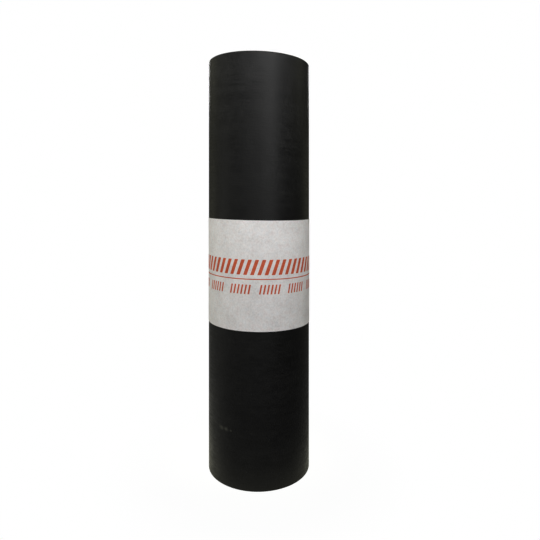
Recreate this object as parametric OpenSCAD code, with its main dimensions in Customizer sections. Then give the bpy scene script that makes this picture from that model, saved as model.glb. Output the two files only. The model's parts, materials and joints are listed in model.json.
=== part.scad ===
// Roll of roofing felt, standing on its end, with its paper belly band.
// The roll's axis is Z and its lower end rests on Z = 0. Millimetres.

/* [Roll] */
// Width of the felt, which is the height of the standing roll
felt_w = 914.4; // [300:0.1:1300]
// Diameter over the outermost turn
roll_d = 230; // [140:1:360]
// Diameter of the open bore that the first turn is wound round
bore_d = 50; // [25:1:90]

/* [Turns] */
// Distance from one turn to the next, the felt's thickness as it lies wound
turn_t = 0.9; // [0.6:0.1:6]
// Depth of the groove that parts two turns on an end
groove_depth = 0.5; // [0.1:0.1:3]
// Width of that groove, as a share of one turn
groove_share = 0.4; // [0.2:0.05:0.7]

/* [Paper band] */
// Width of the paper, which is the height of the band
band_w = 232; // [60:1:240]
// How far the band's middle sits below the roll's middle
band_drop = 9.2; // [0:0.1:20]
// Thickness of the paper
paper_t = 0.25; // [0.1:0.05:1]
// Clearance between the band and the outermost turn
band_clear = 0.1; // [0.05:0.05:0.5]
// Length of the glued lap, measured round the roll
lap_l = 50; // [20:1:90]
// Direction of the lap's middle, anticlockwise from +X
lap_angle = 130; // [0:1:359]

/* [Hidden] */
$fn = 96;

// Radii of the roll, and the whole turns that lie between them
roll_r = roll_d / 2;
bore_r = bore_d / 2;
turn_count = round((roll_r - bore_r) / turn_t);
turn_pitch = (roll_r - bore_r) / turn_count;
groove_w = turn_pitch * groove_share;

// The band's inner wall, its lower edge and the angle that its lap covers
band_r = roll_r + band_clear;
band_z = (felt_w - band_w) / 2 - band_drop;
lap_sweep = lap_l / band_r * 180 / PI;

// Points of one end from the bore outwards, at height z. Between each turn's
// flat land and the next a V groove runs into the roll, towards height deep_z.
function end_line(z, deep_z) = [
    for (i = [1 : turn_count - 1])
        let (r = bore_r + i * turn_pitch)
            each [
                [r - groove_w / 2, z],
                [r, deep_z],
                [r + groove_w / 2, z]
            ]
];

// Half section of the whole roll, with its turns on both ends
module roll_section() {
    lower = end_line(0, groove_depth);
    upper = end_line(felt_w, felt_w - groove_depth);
    polygon(concat(
        [[bore_r, 0]],
        lower,
        [[roll_r, 0], [roll_r, felt_w]],
        [for (i = [len(upper) - 1 : -1 : 0]) upper[i]],
        [[bore_r, felt_w]]
    ));
}

// The wound felt: one turned solid round its bore
module felt_roll() {
    color("#1f1f1e")
    rotate_extrude()
        roll_section();
}

// The lap's reach seen from above: a pie slice that ends outside the band
module lap_slice() {
    reach = 2 * band_r;
    from = lap_angle - lap_sweep / 2;
    to = lap_angle + lap_sweep / 2;
    polygon([[0, 0], reach * [cos(from), sin(from)], reach * [cos(to), sin(to)]]);
}

// The belly band: one closed ring of paper, twice as thick along its glued lap
module paper_band() {
    color("#c4c2bf")
    translate([0, 0, band_z])
    linear_extrude(band_w)
    difference() {
        union() {
            circle(band_r + paper_t);
            intersection() {
                circle(band_r + 2 * paper_t);
                lap_slice();
            }
        }
        circle(band_r);
    }
}

felt_roll();
paper_band();
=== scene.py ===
"""The looks of a standing roll of roofing felt with its paper belly band.

Everything is in metres in the part's own frame: the roll's axis is Z, its lower end
rests on Z = 0, and the printed front of the band faces -Y.
"""

import json
import math

import bmesh
import bpy
import numpy as np
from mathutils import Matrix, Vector


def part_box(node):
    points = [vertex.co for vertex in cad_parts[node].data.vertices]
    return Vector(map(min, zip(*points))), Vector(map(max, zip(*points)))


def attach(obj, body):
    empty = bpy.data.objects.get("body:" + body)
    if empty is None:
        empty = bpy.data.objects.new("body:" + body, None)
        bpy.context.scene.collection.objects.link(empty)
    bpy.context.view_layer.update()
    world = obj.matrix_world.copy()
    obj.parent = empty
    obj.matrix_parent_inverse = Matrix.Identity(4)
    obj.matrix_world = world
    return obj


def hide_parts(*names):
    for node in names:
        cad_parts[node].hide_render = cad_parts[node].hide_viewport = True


MM = 0.001
FULL_TURN = 2 * math.pi

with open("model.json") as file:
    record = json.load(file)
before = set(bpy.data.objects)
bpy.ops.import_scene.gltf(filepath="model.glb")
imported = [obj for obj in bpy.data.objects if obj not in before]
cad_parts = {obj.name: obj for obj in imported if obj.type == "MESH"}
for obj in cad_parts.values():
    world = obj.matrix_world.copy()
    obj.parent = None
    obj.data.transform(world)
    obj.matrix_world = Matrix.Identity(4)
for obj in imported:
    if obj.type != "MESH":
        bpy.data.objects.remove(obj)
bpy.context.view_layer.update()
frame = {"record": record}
rng = np.random.default_rng(226)

# ---------------------------------------------------------------- sizes from the frame

roll_lo, roll_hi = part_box("felt_roll")
band_lo, band_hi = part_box("paper_band")
mounts = {mount["name"]: mount for mount in frame["record"]["mounts"]}

ROLL_H = roll_hi[2] - roll_lo[2]
ROLL_R = (roll_hi[0] - roll_lo[0]) / 2
BORE_R = mounts["bore"]["dims"]["r_mm"] * MM
BAND_Z = band_lo[2]
BAND_H = band_hi[2] - band_lo[2]

# ---------------------------------------------------------------- the winding

FELT = 0.9 * MM                       # the felt's thickness as it lies wound
TURNS = round((ROLL_R - BORE_R) / FELT) - 1
PITCH = (ROLL_R + FELT / 2 - BORE_R) / (TURNS + 1)
STEPS = 120                           # steps in one turn
LAST = TURNS * STEPS                  # the step at the felt's outer end
TAIL_ANGLE = math.radians(152)        # where the felt's outer end lies, under the band's back
TAIL_STEPS = 12                       # the stretch of the outer end that stands a little off
TAIL_LIFT = 1.5 * MM
TAIL_HOLD = 0.25                      # height over which it comes away above and below the band
START_STEPS = 20                      # the stretch of the inner end that has sprung into the bore
START_SPRING = 2.2 * MM
GROOVE = (0.14 * MM, 0.40 * MM)       # narrowest and widest gap between two turns
LOOSE = 0.5 * MM                      # what a loosely wound stretch adds to that gap
GROOVE_DEPTH = (0.8 * MM, 2.5)        # least depth, and what each millimetre of gap adds to it
CORNER = 0.15 * MM                    # worn corner of a cut edge
WALL_ROWS = 60
BORE_ROWS = 16
OUT_OF_SQUARE = 3.6 * MM              # how far the upper end rises on the left and falls on the right
SQUARE_OFFSET = 0.2                   # the share of that by which the whole upper end is raised
UPPER_WANDER = 1.3 * MM               # how far the turns slid past each other on each end
LOWER_WANDER = 0.6 * MM
WALL_SWELL = 0.30 * MM                # gentle unevenness of the outer turn
LOOSE_FROM = 0.35                     # the random walk, -1 to 1, above which a stretch is loose
LEVEL_TURNS = 1.6                     # turns over which the felt's edges come level at its outer end
EDGE_KNOTS = 1.6                      # knots a turn of the random walks that move those edges

# ---------------------------------------------------------------- the band

PAPER = 0.3 * MM
BAND_GAP = 0.12 * MM                  # between the paper and the outer turn
LAP_ANGLE = math.radians(130)         # middle of the glued lap
LAP = 50 * MM
LAP_RAMP = 14 * MM                    # the paper's climb on to its own start, and its free end
LAP_END = 9 * MM
BRIDGE = 26 * MM                      # the paper's slope down from the felt's outer end
BAND_COLUMNS = 360
BAND_ROWS = 48
BAND_SKEW = 1.7 * MM                  # the band sits askew, higher on the left
LAP_GAP = 0.1 * MM                    # between the two layers of the lap
CREASE_SLACK = 0.13 * MM              # how far the paper stands off in small creases
BROAD_SLACK = 0.09 * MM               # and in broad waves
EDGE_LIFT = 0.30 * MM                 # how far its upper and lower edges stand off
EDGE_SHARE = 0.06                     # the share of the band's height that each edge takes up
END_LIFT = 0.6 * MM                   # how far its free end stands off
RAGGED = 0.25 * MM                    # unevenness of its cut edges

# The print, in metres above the band's lower edge: rows from low to high
BOLD_ROW = (0.118, 0.150)
RULE = (0.1082, 0.1104)
FINE_ROW = (0.078, 0.098)
# Bars: pitch, width and lean
BOLD_BAR = (0.0150, 0.0078, 0.35)
FINE_BAR = (0.0080, 0.0036, 0.20)
FINE_GROUP = (0.0640, 0.0480)         # pitch and length of a group of fine bars
INK_BLUR = 0.25 * MM
INK_WOBBLE = 0.5 * MM                 # how far the pulp shifts the print's edges, from side to side

# Three small rubbed spots low on the left of the front: direction in degrees, height and radius
SCUFFS = (
    (225.5, 119 * MM, 5.8 * MM),
    (232.0, 119.5 * MM, 5.2 * MM),
    (238.5, 119.5 * MM, 2.6 * MM),
)
SCUFF_SQUASH = 0.65                   # below 1 makes a spot longer along the felt than it is high
SCUFF_FADE = 1.5                      # radii at which a spot has faded out, less the mottle there

# ---------------------------------------------------------------- UV maps

MAP_SCALE = 1 / 1.06                  # map units for each metre of the roll's outside and ends
MAP_MARGIN = 0.012
NARROW_SCALE = 0.75                   # along the strips that are laid on their side, above the outside
STRIP_ROWS = {"under": 0.890, "start": 0.955, "tail_cut": 0.984, "start_cut": 0.991}
BORE_FOOT = 0.49                      # where the bore's part of the map starts, and its scale upwards
BORE_SCALE = 0.54
BAND_MARGIN = 0.01                    # the band's map: the printed side's two rows, and the back
PRINTED_SIZE = (0.80, 0.48)
SECOND_ROW = 0.51
BARE_LEFT = 0.84
BARE_SIZE = (0.15, 0.98)


def smooth(x):
    """A soft step from 0 at x = 0 to 1 at x = 1."""
    x = np.clip(x, 0, 1)
    return x * x * (3 - 2 * x)


def swell(count, most_round, most_along):
    """A gentle random surface round the roll, about -1 to 1, as a function of angle and height."""
    rounds = rng.integers(1, most_round + 1, count)
    along = rng.uniform(-most_along, most_along, count)
    phase = rng.uniform(0, FULL_TURN, count)
    weight = 1 / (1 + rounds + abs(along) / 6)
    weight /= weight.sum()

    def at(angle, height):
        total = np.zeros(np.broadcast(angle, height).shape)
        for n, k, p, w in zip(rounds, along, phase, weight):
            total = total + w * np.cos(n * angle + k * height + p)
        return 1.6 * total                             # the waves seldom meet, so their sum is small

    return at


def wander(places, knots_per_turn, limit):
    """A smooth random walk along the felt's edge, kept within a limit."""
    knots = int(places[-1] * knots_per_turn) + 2
    values = rng.uniform(-1, 1, knots)
    values = np.convolve(values, (0.25, 0.5, 0.25), "same")
    at = np.arange(knots) / knots_per_turn
    return limit * np.clip(1.5 * np.interp(places, at, values), -1, 1)   # 1.5 makes up for the smoothing


wall_swell = swell(count=14, most_round=6, most_along=9.0)


def wall_radius(angle, height):
    """Radius of the felt's outer turn, with its slow growth from one pass of its end to the next."""
    share = (angle - TAIL_ANGLE) / FULL_TURN % 1
    return ROLL_R + PITCH * (share - 0.5) + WALL_SWELL * wall_swell(angle, height)


class Draft:
    """A mesh under construction: points, their places on the sheet, and faces by kind."""

    def __init__(self):
        self.points, self.sheet, self.steps = [], [], []
        self.faces, self.kinds = [], []
        self.count = 0

    def add_points(self, points, sheet, steps):
        """Adds a row or a grid of points and returns their numbers in the same arrangement."""
        shape = points.shape[:-1]
        self.points.append(points.reshape(-1, 3))
        self.sheet.append(np.broadcast_to(sheet, points.shape).reshape(-1, 3))
        self.steps.append(np.broadcast_to(steps, shape).ravel())
        numbers = self.count + np.arange(math.prod(shape))
        self.count += len(numbers)
        return numbers.reshape(shape)

    def face(self, kind, *corners):
        self.faces.append(tuple(int(corner) for corner in corners))
        self.kinds.append(kind)

    def quads(self, kind, *corners):
        """Adds one quad for each place in four equal lists of point numbers."""
        added = np.stack([np.ravel(corner) for corner in corners], axis=1).tolist()
        self.faces.extend(map(tuple, added))
        self.kinds.extend([kind] * len(added))

    def strip(self, kind, first, second):
        """Joins two rows of points."""
        self.quads(kind, first[:-1], first[1:], second[1:], second[:-1])

    def grid(self, kind, numbers):
        self.quads(kind, numbers[:-1, :-1], numbers[:-1, 1:], numbers[1:, 1:], numbers[1:, :-1])

    def make(self, name, slots, sharp):
        """Makes the object. slots lists each material with the kinds of face that it covers."""
        mesh = bpy.data.meshes.new(name)
        mesh.from_pydata(np.concatenate(self.points).tolist(), [], self.faces)
        shape = bmesh.new()
        shape.from_mesh(mesh)
        bmesh.ops.recalc_face_normals(shape, faces=shape.faces)
        shape.to_mesh(mesh)
        shape.free()
        slot_of = {}
        for number, (material, kinds) in enumerate(slots):
            mesh.materials.append(material)
            slot_of.update(dict.fromkeys(kinds, number))
        mesh.polygons.foreach_set("material_index", [slot_of[kind] for kind in self.kinds])
        places = mesh.attributes.new("sheet", "FLOAT_VECTOR", "POINT")
        places.data.foreach_set("vector", np.concatenate(self.sheet).astype(np.float32).ravel())
        mesh.shade_smooth()
        mesh.set_sharp_from_angle(angle=math.radians(sharp))
        piece = bpy.data.objects.new(name, mesh)
        bpy.context.scene.collection.objects.link(piece)
        return piece

    def corners(self, mesh):
        """For each corner of each face: the number of its point, its face and its face's kind."""
        points = np.empty(len(mesh.loops), np.int32)
        mesh.loops.foreach_get("vertex_index", points)
        totals = np.empty(len(mesh.polygons), np.int32)
        mesh.polygons.foreach_get("loop_total", totals)
        faces = np.repeat(np.arange(len(totals)), totals)
        return points, faces, np.array(self.kinds)[faces]


def give_map(mesh, corner_uv):
    """Gives the mesh its UV map, named OFBake, from one place for each face corner."""
    layer = mesh.uv_layers.new(name="OFBake")
    layer.uv.foreach_set("vector", corner_uv.astype(np.float32).ravel())


# ---------------------------------------------------------------- materials


class Material:
    """A node material under construction, with short calls for the nodes used here."""

    def __init__(self, name):
        self.made = bpy.data.materials.new(name)
        self.made.use_nodes = True
        self.tree = self.made.node_tree
        self.shader = self.tree.nodes["Principled BSDF"]

    def put(self, value, socket):
        if isinstance(value, bpy.types.NodeSocket):
            self.tree.links.new(value, socket)
        else:
            socket.default_value = value

    def node(self, kind, inputs=(), **settings):
        made = self.tree.nodes.new(kind)
        for name, value in settings.items():
            setattr(made, name, value)
        for name, value in dict(inputs).items():
            self.put(value, made.inputs[name])
        return made

    def math(self, operation, first, second=0.0, third=0.0, clamp=False):
        values = {0: first, 1: second, 2: third}
        return self.node("ShaderNodeMath", values, operation=operation, use_clamp=clamp).outputs[0]

    def blend(self, *parts):
        """The sum of some values, each times its weight."""
        total = 0.0
        for value, weight in parts:
            total = self.math("MULTIPLY_ADD", value, weight, total)
        return total

    def places(self):
        """Where a point is on the felt or paper: metres along it, metres across it, and its turn."""
        return self.node("ShaderNodeAttribute", attribute_name="sheet").outputs["Vector"]

    def split(self, vector):
        return self.node("ShaderNodeSeparateXYZ", {0: vector}).outputs

    def stretch(self, vector, along, across, move=(0, 0, 0)):
        """The sheet's places, scaled along and across it, so that a noise has that many waves a metre."""
        values = {"Vector": vector, "Scale": (along, across, 0), "Location": move}
        return self.node("ShaderNodeMapping", values).outputs[0]

    def noise(self, vector, detail=3.0, roughness=0.5, scale=1.0):
        values = {"Vector": vector, "Scale": scale, "Detail": detail, "Roughness": roughness}
        return self.node("ShaderNodeTexNoise", values).outputs["Fac"]

    def ramp(self, value, *stops):
        """Turns a value into another, or into a colour, through (place, grey or colour) stops."""
        made = self.node("ShaderNodeValToRGB", {0: value})
        elements = made.color_ramp.elements
        while len(elements) < len(stops):
            elements.new(0.5)
        for element, (place, colour) in zip(elements, stops):
            element.position = place
            grey = (colour,) * 3 if isinstance(colour, (int, float)) else colour
            element.color = (*grey, 1)
        return made.outputs[0]

    def mix(self, share, first, second, blend="MIX"):
        made = self.node("ShaderNodeMix", data_type="RGBA", blend_type=blend)
        for value, socket in ((share, made.inputs[0]), (first, made.inputs[6]), (second, made.inputs[7])):
            self.put((*value, 1) if isinstance(value, tuple) else value, socket)
        return made.outputs[2]

    def bump(self, height, distance, strength=1.0, under=None):
        values = {"Height": height, "Distance": distance, "Strength": strength}
        if under is not None:
            values["Normal"] = under
        return self.node("ShaderNodeBump", values).outputs[0]

    def finish(self, **sockets):
        for name, value in sockets.items():
            self.put(value, self.shader.inputs[name.replace("_", " ")])
        return self.made


def spot(mat, along, across, place, height, size, uneven):
    """A soft, ragged spot at a place on the sheet, longer than high: 1 in its middle, 0 outside."""
    dx = mat.math("MULTIPLY", mat.math("SUBTRACT", along, place), SCUFF_SQUASH)
    dy = mat.math("SUBTRACT", across, height)
    far = mat.math("SQRT", mat.math("MULTIPLY_ADD", dx, dx, mat.math("MULTIPLY", dy, dy)))
    ragged = mat.math("MULTIPLY_ADD", uneven, size, far)
    return mat.math("SUBTRACT", SCUFF_FADE, mat.math("DIVIDE", ragged, size), clamp=True)


def felt_face():
    """Saturated felt: matt black, faintly streaked along its length, with a fibrous surface."""
    mat = Material("felt_face")
    at = mat.places()
    along, across, _ = mat.split(at)
    fibres = mat.noise(mat.stretch(at, 420, 1000), detail=4, roughness=0.65)
    grain = mat.noise(mat.stretch(at, 170, 280), detail=3, roughness=0.6)
    mottle = mat.noise(mat.stretch(at, 30, 46), detail=4, roughness=0.6)
    streaks = mat.noise(mat.stretch(at, 2.2, 70), detail=3, roughness=0.6)
    dashes = mat.noise(mat.stretch(at, 60, 230), detail=3, roughness=0.6)
    clouds = mat.noise(mat.stretch(at, 5, 7), detail=2, roughness=0.5)

    tone = mat.blend((mottle, 0.28), (streaks, 0.24), (clouds, 0.18), (dashes, 0.26), (fibres, 0.04))
    colour = mat.ramp(
        tone,
        (0.38, (0.0042, 0.0042, 0.0041)),
        (0.50, (0.0080, 0.0080, 0.0078)),
        (0.62, (0.0134, 0.0134, 0.0127)),
    )
    dust = mat.noise(mat.stretch(at, 9, 60, (3, 1, 0)), detail=5, roughness=0.7)
    dust = mat.ramp(dust, (0.60, 0.0), (0.82, 0.35))
    colour = mat.mix(dust, colour, (0.026, 0.026, 0.023))
    scuffs = 0.0
    tail_lead = TAIL_STEPS / STEPS * FULL_TURN
    for degrees, height, size in SCUFFS:
        place = ROLL_R * ((math.radians(degrees) - TAIL_ANGLE) % FULL_TURN + tail_lead)
        scuffs = mat.math("MAXIMUM", spot(mat, along, across, place, height, size, mottle), scuffs)
    colour = mat.mix(scuffs, colour, (0.072, 0.072, 0.060))

    rough = mat.blend((mottle, 0.14), (dashes, 0.36), (fibres, 0.04), (scuffs, 0.10), (streaks, 0.28))
    rough = mat.math("ADD", rough, 0.10)
    normal = mat.bump(mottle, distance=0.6 * MM, strength=0.30)
    normal = mat.bump(dashes, distance=0.5 * MM, strength=0.4, under=normal)
    normal = mat.bump(grain, distance=0.25 * MM, strength=0.4, under=normal)
    normal = mat.bump(fibres, distance=0.10 * MM, strength=0.5, under=normal)
    return mat.finish(Base_Color=colour, Roughness=rough, Normal=normal, Specular_IOR_Level=0.52)


def felt_edge():
    """The cut edges on the ends: dull, fibrous, and each turn a little unlike the next."""
    mat = Material("felt_cut_edge")
    _, _, turn = mat.split(mat.places())
    here = mat.node("ShaderNodeTexCoord").outputs["Object"]
    fibres = mat.noise(here, detail=3, roughness=0.7, scale=900)
    patches = mat.noise(here, detail=3, roughness=0.6, scale=60)
    per_turn = {"W": turn, "Scale": 0.9, "Detail": 4.0}
    turns = mat.node("ShaderNodeTexNoise", per_turn, noise_dimensions="1D")
    tone = mat.blend((turns.outputs["Fac"], 0.6), (fibres, 0.2), (patches, 0.2))
    colour = mat.ramp(
        tone,
        (0.34, (0.0045, 0.0043, 0.0038)),
        (0.50, (0.0140, 0.0134, 0.0118)),
        (0.66, (0.0380, 0.0360, 0.0310)),
    )
    rough = mat.math("MULTIPLY_ADD", fibres, 0.2, 0.68)
    normal = mat.bump(fibres, distance=0.3 * MM, strength=0.8)
    return mat.finish(Base_Color=colour, Roughness=rough, Normal=normal, Specular_IOR_Level=0.2)


def paper_tone(mat, at):
    """Grey recycled paper: faintly cloudy and flecked, with pinkish and bluish fibres."""
    clouds = mat.noise(mat.stretch(at, 34, 30, (2, 5, 0)), detail=5, roughness=0.62)
    pulp = mat.noise(mat.stretch(at, 270, 230), detail=4, roughness=0.7)
    tints = mat.noise(mat.stretch(at, 120, 120, (7, 2, 0)), detail=2)
    tone = mat.blend((pulp, 0.52), (clouds, 0.38), (tints, 0.10))
    grey = mat.ramp(
        tone,
        (0.32, (0.548, 0.538, 0.532)),
        (0.50, (0.660, 0.648, 0.641)),
        (0.68, (0.762, 0.749, 0.742)),
    )
    tint = mat.ramp(tints, (0.35, (1.0, 0.975, 0.975)), (0.5, 1.0), (0.65, (0.975, 0.985, 1.0)))
    flecks = mat.noise(mat.stretch(at, 700, 500, (1, 4, 0)), detail=2, roughness=0.6)
    flecks = mat.ramp(flecks, (0.67, 0.0), (0.74, 0.4))
    paper = mat.mix(flecks, mat.mix(1.0, grey, tint, "MULTIPLY"), (0.24, 0.23, 0.22))
    return paper, clouds, pulp


def between(mat, value, low, high):
    """1 where the value is between two limits, with an edge as soft as the ink's."""
    above = mat.math("DIVIDE", mat.math("SUBTRACT", value, low), INK_BLUR, clamp=True)
    below = mat.math("DIVIDE", mat.math("SUBTRACT", high, value), INK_BLUR, clamp=True)
    return mat.math("MULTIPLY", above, below)


def bars(mat, along, across, row, bar):
    """A row of leaning bars between two heights."""
    pitch, width, lean = bar
    leaned = mat.math("MULTIPLY_ADD", across, -lean, along)
    place = mat.math("WRAP", leaned, pitch, 0.0)
    one_bar = between(mat, place, INK_BLUR, INK_BLUR + width)
    return mat.math("MULTIPLY", one_bar, between(mat, across, *row))


def print_mask(mat, along, across):
    """The band's plain pattern: bold leaning bars, a thin rule, and finer bars in groups."""
    rule = between(mat, across, *RULE)
    bold = bars(mat, along, across, BOLD_ROW, BOLD_BAR)
    fine = bars(mat, along, across, FINE_ROW, FINE_BAR)
    pitch, length = FINE_GROUP
    in_group = between(mat, mat.math("WRAP", along, pitch, 0.0), 0.0, length)
    fine = mat.math("MULTIPLY", fine, in_group)
    return mat.math("MAXIMUM", rule, mat.math("MAXIMUM", bold, fine))


def band_face():
    """The band's outer side, paper with one orange ink."""
    mat = Material("band_printed_paper")
    at = mat.places()
    along, across, _ = mat.split(at)
    paper, clouds, pulp = paper_tone(mat, at)
    wobble = mat.math("MULTIPLY_ADD", pulp, INK_WOBBLE, -INK_WOBBLE / 2)
    ink = print_mask(mat, mat.math("ADD", along, wobble), mat.math("ADD", across, wobble))
    ink = mat.math("MULTIPLY", ink, mat.ramp(pulp, (0.30, 0.85), (0.55, 0.98)))
    orange = mat.ramp(clouds, (0.35, (0.470, 0.098, 0.036)), (0.65, (0.540, 0.122, 0.048)))
    colour = mat.mix(ink, paper, orange)
    rough = mat.math("ADD", mat.blend((pulp, 0.15), (ink, -0.12)), 0.68)
    normal = mat.bump(clouds, distance=0.35 * MM, strength=0.35)
    normal = mat.bump(pulp, distance=0.12 * MM, strength=0.6, under=normal)
    return mat.finish(Base_Color=colour, Roughness=rough, Normal=normal, Specular_IOR_Level=0.25)


def band_back():
    """The band's inner side and its cut edges, bare paper."""
    mat = Material("band_bare_paper")
    paper, _, pulp = paper_tone(mat, mat.places())
    rough = mat.math("MULTIPLY_ADD", pulp, 0.15, 0.72)
    normal = mat.bump(pulp, distance=0.12 * MM, strength=0.6)
    return mat.finish(Base_Color=paper, Roughness=rough, Normal=normal, Specular_IOR_Level=0.25)


# ---------------------------------------------------------------- the wound felt


def wound_roll():
    """The felt as one closed mesh. Its edges spiral across both ends; its outer end stands a
    little off the roll above and below the band, and its inner end has sprung into the bore."""
    draft = Draft()
    every = np.arange(LAST + 1)
    turn = every / STEPS
    angle = TAIL_ANGLE + FULL_TURN * turn
    inner = BORE_R + PITCH * turn                      # the felt's inner side at each step
    loose_walk = wander(turn, knots_per_turn=0.22, limit=1.0)
    loose = np.interp(loose_walk, (LOOSE_FROM, 1.0), (0.0, LOOSE))
    gap = np.interp(wander(turn, knots_per_turn=2.0, limit=1.0), (-1, 1), GROOVE) + loose
    depth = GROOVE_DEPTH[0] + GROOVE_DEPTH[1] * gap
    settled = 1 - smooth((turn - TURNS + LEVEL_TURNS) / LEVEL_TURNS)
    upper_edge = wander(turn, EDGE_KNOTS, UPPER_WANDER)
    upper_edge = (upper_edge - upper_edge[-STEPS // 2]) * settled
    lower_edge = abs(wander(turn, EDGE_KNOTS, LOWER_WANDER)) * settled

    def stand_off(steps, height):
        """How far the felt's outer end has lifted, less how far its inner end has sprung."""
        past_band = (abs(height - BAND_Z - BAND_H / 2) - BAND_H / 2) / TAIL_HOLD
        lift = TAIL_LIFT * smooth(1 - (LAST - steps) / TAIL_STEPS) * smooth(past_band)
        return lift - START_SPRING * smooth(1 - steps / START_STEPS)

    def add(steps, radius, height, across):
        """Adds points of the felt at some steps of its length, moved by the roll's unevenness."""
        way = angle[steps]
        radius = radius + stand_off(steps, height)
        outward = np.clip(radius / ROLL_R, 0, 1) ** 3  # the swell dies away towards the bore
        radius = radius + WALL_SWELL * wall_swell(way, height) * outward
        tilt = SQUARE_OFFSET - np.cos(way) * radius / ROLL_R
        z = height + OUT_OF_SQUARE * tilt * smooth(height / ROLL_H)
        points = np.stack(np.broadcast_arrays(radius * np.cos(way), radius * np.sin(way), z), axis=-1)
        run = (inner[steps] + PITCH) * FULL_TURN * (steps - LAST + STEPS + TAIL_STEPS) / STEPS
        sheet = np.stack(np.broadcast_arrays(run, across, turn[steps]), axis=-1)
        return draft.add_points(points, sheet, steps)

    grooved = every[STEPS + START_STEPS:LAST - TAIL_STEPS + 1]

    def add_end(kind, level, inward, edge):
        """One end: the felt's edge between its two corners, and the groove between two turns."""
        outline = level + inward * edge
        near = add(every, inner + gap / 2, outline, inner)
        far = add(every, inner + PITCH - gap / 2, outline, inner)
        floor = add(grooved, inner[grooved], (outline + inward * depth)[grooved], inner[grooved])
        draft.strip(kind, near, far)
        draft.strip(kind, floor, near[grooved])
        draft.strip(kind, far[grooved - STEPS], floor)
        return near, far, floor

    ends = {
        "top": add_end("top", ROLL_H, -1, upper_edge) + (0,),
        "bottom": add_end("bottom", 0.0, 1, lower_edge) + (-1,),
    }

    def add_side(steps, offset, rows):
        """The felt's inner or outer side along some steps, in rows from the top down."""
        top = ROLL_H - upper_edge[steps] - CORNER
        bottom = lower_edge[steps] + CORNER
        height = top + (bottom - top) * np.linspace(0, 1, rows)[:, None]
        return add(steps, inner[steps] + offset, height, height)

    outer_steps = every[LAST - STEPS - TAIL_STEPS:]
    tail_steps = every[LAST - TAIL_STEPS:]
    bore_steps = every[:STEPS + START_STEPS + 1]
    start_steps = every[:START_STEPS + 1]
    outer = add_side(outer_steps, PITCH, WALL_ROWS)
    under = np.hstack((outer[:, :1], add_side(tail_steps[1:], 0.0, WALL_ROWS)))
    bore = add_side(bore_steps, 0.0, BORE_ROWS)
    start = np.hstack((add_side(start_steps[:-1], PITCH, BORE_ROWS), bore[:, -1:]))
    for kind, side in (("outer", outer), ("under", under), ("bore", bore), ("start", start)):
        draft.grid(kind, side)
    draft.strip("tail_cut", outer[:, -1], under[:, -1])
    draft.strip("start_cut", bore[:, 0], start[:, 0])

    for kind, (near, far, floor, row) in ends.items():
        draft.strip(kind, far[outer_steps], outer[row])
        draft.strip(kind, near[tail_steps], under[row])
        draft.strip(kind, near[bore_steps], bore[row])
        draft.strip(kind, far[start_steps], start[row])
        # where the groove opens into the gap at each end of the felt, and the felt's two cut ends
        draft.face(kind, far[outer_steps[0]], floor[-1], near[tail_steps[0]], outer[row, 0])
        draft.face(kind, far[start_steps[-1]], floor[0], near[bore_steps[-1]], bore[row, -1])
        draft.face(kind, near[-1], under[row, -1], outer[row, -1], far[-1])
        draft.face(kind, near[0], bore[row, 0], start[row, 0], far[0])

    sides = (felt_face(), ("outer", "under", "bore", "start"))
    cuts = (felt_edge(), ("top", "bottom", "tail_cut", "start_cut"))
    piece = draft.make("wound_felt", (sides, cuts), sharp=38)
    map_roll(piece.data, draft)
    return piece


def map_roll(mesh, draft):
    """Lays out the outside, with both ends and the bore beside it and the narrow strips above it."""
    points, _, kind = draft.corners(mesh)
    place = np.concatenate(draft.points)[points]
    step = np.concatenate(draft.steps)[points]
    radius = np.hypot(place[:, 0], place[:, 1])
    height = place[:, 2]
    one_step = FULL_TURN / STEPS * MAP_SCALE
    disc = ROLL_R * MAP_SCALE + 2 * MM
    beside = 2 * MAP_MARGIN + (STEPS + TAIL_STEPS) * one_step * ROLL_R
    flat = place[:, :2] * MAP_SCALE
    out_step = step - (LAST - STEPS - TAIL_STEPS)
    uv = np.zeros((len(points), 2))

    def lay(name, u, v):
        chosen = kind == name
        uv[chosen] = np.stack(np.broadcast_arrays(u, v), axis=-1)[chosen]

    lay("outer", MAP_MARGIN + out_step * one_step * ROLL_R, MAP_MARGIN + height * MAP_SCALE)
    lay("bore", beside + step * one_step * BORE_R, BORE_FOOT + height * BORE_SCALE)
    lay("top", beside + disc + flat[:, 0], MAP_MARGIN + disc + flat[:, 1])
    lay("bottom", beside + disc + flat[:, 0], 2 * MAP_MARGIN + 3 * disc + flat[:, 1])
    strips = {
        "under": (out_step % STEPS) * one_step * ROLL_R,
        "start": (step % STEPS) * one_step * BORE_R,
        "tail_cut": radius - ROLL_R,
        "start_cut": radius - BORE_R,
    }
    for name, across in strips.items():
        lay(name, MAP_MARGIN + height * NARROW_SCALE, STRIP_ROWS[name] + across)
    give_map(mesh, uv)


# ---------------------------------------------------------------- the paper band


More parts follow.
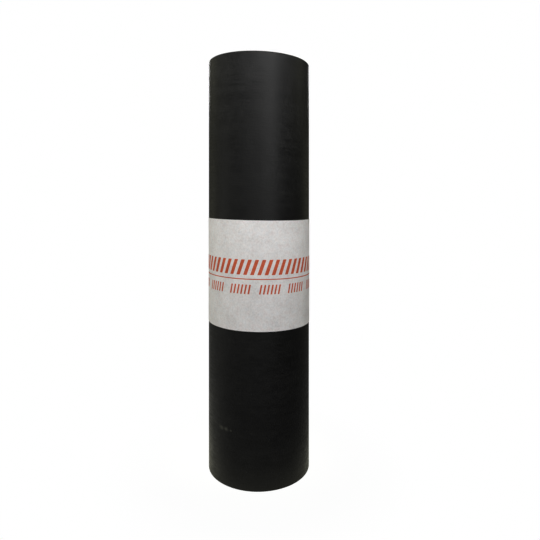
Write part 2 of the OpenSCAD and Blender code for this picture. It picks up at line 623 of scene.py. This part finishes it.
def belly_band():
    """One strip of paper, wrapped once round and lapped over its own start at the back."""
    sweep = FULL_TURN + LAP / ROLL_R
    run = np.linspace(0, sweep, BAND_COLUMNS)[None, :]
    rise = np.linspace(0, 1, BAND_ROWS)[:, None]
    angle = LAP_ANGLE - LAP / ROLL_R / 2 + run
    level = BAND_Z + rise * BAND_H

    # the paper lies on the outer turn and slopes down past the felt's outer end
    past_tail = (angle - TAIL_ANGLE) % FULL_TURN * ROLL_R
    rest = wall_radius(angle, level) + PITCH * (1 - smooth(past_tail / BRIDGE)) + BAND_GAP
    second_layer = smooth(((run - FULL_TURN) * ROLL_R + LAP_RAMP) / LAP_RAMP)
    rest = rest + second_layer * (PAPER + LAP_GAP)

    # it is a little slack here and there, and its edges and its free end stand off by a hair
    creases = swell(count=26, most_round=22, most_along=70.0)
    broad = swell(count=10, most_round=7, most_along=16.0)
    slack = CREASE_SLACK * (1 + creases(angle, level)) + BROAD_SLACK * (1 + broad(angle, level))
    near_edge = smooth(1 - rise / EDGE_SHARE) + smooth(1 - (1 - rise) / EDGE_SHARE)
    edge_lift = EDGE_LIFT * np.clip(broad(angle, 3.0) + 0.3, 0, 1.3) * near_edge
    free_end = smooth(((run - sweep) * ROLL_R + LAP_END) / LAP_END)
    end_lift = END_LIFT * free_end * (0.4 + 0.6 * abs(2 * rise - 1))   # most at its two corners
    radius = rest + slack + edge_lift + end_lift

    ragged = RAGGED * swell(count=30, most_round=90, most_along=0.0)(angle, 0.0)
    outward = np.sign(rise - 0.5) * abs(2 * rise - 1) ** 6
    height = level + ragged * outward - BAND_SKEW * np.cos(angle)
    along = (angle - 0.75 * FULL_TURN) * ROLL_R

    draft = Draft()
    column = np.arange(BAND_COLUMNS)[None, :]

    def layer(offset):
        out = radius + offset
        points = np.stack(np.broadcast_arrays(out * np.cos(angle), out * np.sin(angle), height), axis=-1)
        sheet = np.stack(np.broadcast_arrays(along, rise * BAND_H, 0.0), axis=-1)
        return draft.add_points(points, sheet, column)

    back, face = layer(0.0), layer(PAPER)
    draft.grid("printed", face)
    draft.grid("bare", back)
    draft.strip("bare", back[0], face[0])
    draft.strip("bare", back[-1], face[-1])
    draft.strip("bare", back[:, 0], face[:, 0])
    draft.strip("bare", back[:, -1], face[:, -1])
    slots = ((band_face(), ("printed",)), (band_back(), ("bare",)))
    piece = draft.make("belly_band", slots, sharp=50)
    map_band(piece.data, draft)
    return piece


def map_band(mesh, draft):
    """Lays the printed side in two rows, one for each half of its length, and the back beside them."""
    points, faces, kind = draft.corners(mesh)
    column = np.concatenate(draft.steps)[points]
    rise = np.concatenate(draft.sheet)[points, 1] / BAND_H
    middle = (BAND_COLUMNS - 1) / 2
    mean_column = np.bincount(faces, column) / np.bincount(faces)
    second_half = (mean_column > middle)[faces]
    u = (column - second_half * math.floor(middle)) / (middle + 1)
    v = np.where(second_half, SECOND_ROW, BAND_MARGIN) + PRINTED_SIZE[1] * rise
    printed = np.stack((BAND_MARGIN + PRINTED_SIZE[0] * u, v), axis=-1)
    up = BAND_MARGIN + BARE_SIZE[1] * column / (BAND_COLUMNS - 1)
    bare = np.stack((BARE_LEFT + BARE_SIZE[0] * rise, up), axis=-1)
    give_map(mesh, np.where((kind == "printed")[:, None], printed, bare))


roll = wound_roll()
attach(roll, "root")
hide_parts("felt_roll")

band = belly_band()
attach(band, "root")
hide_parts("paper_band")

# ---------------------------------------------------------------- stage, lights and camera

WORLD_LIGHT = 0.06                    # strength of the white surround as a light on the roll
FLOOR_RADIUS = 60
FLOOR_DROP = 0.2 * MM                 # keeps the floor just clear of the roll's lower end
# How much a place on the floor counts as left, and as behind: change a metre, and value at the axis
LEFT_FADE = (-1.1, 0.62)
BEHIND_FADE = (4.0, 0.5)
FLOOR_GREY = (0.12, 0.07, 0.065)      # reflectance that left and behind add to the floor, and its least
FLOOR_GLOW = 1.5                      # how brightly the floor is lit from below, behind the roll and left
FOOT_GLOW = 0.5                       # and right round its foot
FLOOR_TINT = (1.0, 1.0, 0.80)         # colour of both glows
AIM_HEIGHT = 0.45                     # height on the roll's axis that every light is turned to
SOFTBOX = 0.9                         # side of each square light
# Azimuth, with 0 on the camera's side and 90 at +X, elevation, metres, watts, and how yellow it is
SOFTBOXES = {
    "key": (24, 14, 2.4, 14.6, 0.0),
    "key_right": (40, 30, 2.4, 1.2, 0.0),
    "front_left": (-12, 6, 2.4, 5, 0.0),
    "mid_left": (-42, 4, 2.4, 2.5, 0.0),
    "fill_right": (68, 28, 2.4, 1.4, 0.0),
    "right": (100, 30, 2.4, 3.6, 0.24),
    "right_rim": (130, 1, 2.4, 2.2, 0.24),
    "top": (13, 77, 1.1, 36, 0.0),
    "high_left": (-75, 55, 2.4, 10, 0.08),
    "far_left": (-95, 50, 2.4, 17, 0.08),
    "low_left": (-82, 1, 2.4, 5.8, 0.08),
    "left": (-125, 30, 2.4, 3, 0.24),
    "left_rim": (-125, 1, 2.4, 2.5, 0.24),
    "back_right": (165, 30, 2.4, 24, 0.0),
    "back_left": (-165, 30, 2.4, 24, 0.0),
}

# The camera is held level on the printed side. The lens and its frame are in millimetres
FRAME_HEIGHT = 36
FRAME_WIDTH = 27
CAMERA_DISTANCE = 1.144
CAMERA_HEIGHT = 0.613
LENS = 33.02
AIM_RIGHT = 1.28                      # degrees
SHIFT = -0.1356                       # of the frame's height, so the level camera takes in the floor
CONTRAST = 0.70                       # display gamma below 1 deepens the blacks


def plain_stage():
    """A wide pale floor that turns to plain white away from the roll."""
    place = (0, 0, -FLOOR_DROP)
    bpy.ops.mesh.primitive_circle_add(vertices=64, radius=FLOOR_RADIUS, fill_type="NGON", location=place)
    floor = bpy.context.object
    floor.name = "floor"
    mat = Material("pale_floor")
    here = mat.node("ShaderNodeTexCoord").outputs["Object"]
    far = mat.node("ShaderNodeVectorMath", {0: here}, operation="LENGTH").outputs["Value"]
    # each ramp runs outwards over metres from the roll's axis
    whiteness = mat.ramp(far, (0.12, 0.97), (0.34, 1.0))
    x, y, _ = mat.split(here)
    left = mat.math("MULTIPLY_ADD", x, *LEFT_FADE, clamp=True)
    behind = mat.math("MULTIPLY_ADD", y, *BEHIND_FADE, clamp=True)
    nearby = mat.ramp(far, (0.14, 1.0), (0.30, 0.30), (0.80, 0.0))
    underlit = mat.math("MULTIPLY", mat.math("MULTIPLY", left, behind), nearby)
    foot = mat.ramp(far, (0.12, 1.0), (0.23, 0.0))
    underlit = mat.blend((underlit, FLOOR_GLOW), (foot, FOOT_GLOW))
    from_left, from_behind, least = FLOOR_GREY
    pale = mat.math("ADD", mat.blend((left, from_left), (behind, from_behind)), least)
    mat.finish(Base_Color=pale, Roughness=0.9, Specular_IOR_Level=0.0,
               Emission_Color=(*FLOOR_TINT, 1), Emission_Strength=underlit)
    glow = mat.node("ShaderNodeEmission", {"Color": (1, 1, 1, 1), "Strength": 1.0})
    seen = mat.node("ShaderNodeLightPath").outputs["Is Camera Ray"]
    both = mat.node("ShaderNodeMixShader")
    mat.put(mat.math("MULTIPLY", whiteness, seen), both.inputs[0])
    mat.put(mat.shader.outputs[0], both.inputs[1])
    mat.put(glow.outputs[0], both.inputs[2])
    mat.put(both.outputs[0], mat.tree.nodes["Material Output"].inputs["Surface"])
    floor.data.materials.append(mat.made)


def white_surround():
    """White to the camera, and dim as a light on the roll."""
    world = bpy.data.worlds.new("surround")
    bpy.context.scene.world = world
    world.use_nodes = True
    nodes, links = world.node_tree.nodes, world.node_tree.links
    background = nodes["Background"]
    background.inputs["Color"].default_value = (1, 1, 1, 1)
    strength = nodes.new("ShaderNodeMix")
    strength.inputs[2].default_value = WORLD_LIGHT
    strength.inputs[3].default_value = 1.0
    links.new(nodes.new("ShaderNodeLightPath").outputs["Is Camera Ray"], strength.inputs[0])
    links.new(strength.outputs[0], background.inputs["Strength"])


def softbox(name, azimuth, elevation, distance, power, yellow):
    """A square light at some distance from the roll's middle, turned to it."""
    a, e = math.radians(azimuth), math.radians(elevation)
    light = bpy.data.lights.new(name, "AREA")
    light.shape = "SQUARE"
    light.size = SOFTBOX
    light.energy = power
    light.color = (1, 1, 1 - yellow)
    lamp = bpy.data.objects.new(name, light)
    bpy.context.scene.collection.objects.link(lamp)
    towards = Vector((math.sin(a) * math.cos(e), -math.cos(a) * math.cos(e), math.sin(e)))
    lamp.location = towards * distance + Vector((0, 0, AIM_HEIGHT))
    lamp.rotation_mode = "QUATERNION"
    lamp.rotation_quaternion = towards.to_track_quat("Z", "Y")


def upright_camera():
    data = bpy.data.cameras.new("camera")
    data.sensor_fit = "VERTICAL"
    data.sensor_height = FRAME_HEIGHT
    data.sensor_width = FRAME_WIDTH
    data.lens = LENS
    data.shift_y = SHIFT
    camera = bpy.data.objects.new("camera", data)
    bpy.context.scene.collection.objects.link(camera)
    camera.location = (0, -CAMERA_DISTANCE, CAMERA_HEIGHT)
    camera.rotation_euler = (math.radians(90), 0, -math.radians(AIM_RIGHT))
    return camera


plain_stage()
white_surround()
for name, settings in SOFTBOXES.items():
    softbox(name, *settings)
bpy.context.scene.camera = upright_camera()
bpy.context.scene.view_settings.view_transform = "Standard"
bpy.context.scene.view_settings.gamma = CONTRAST
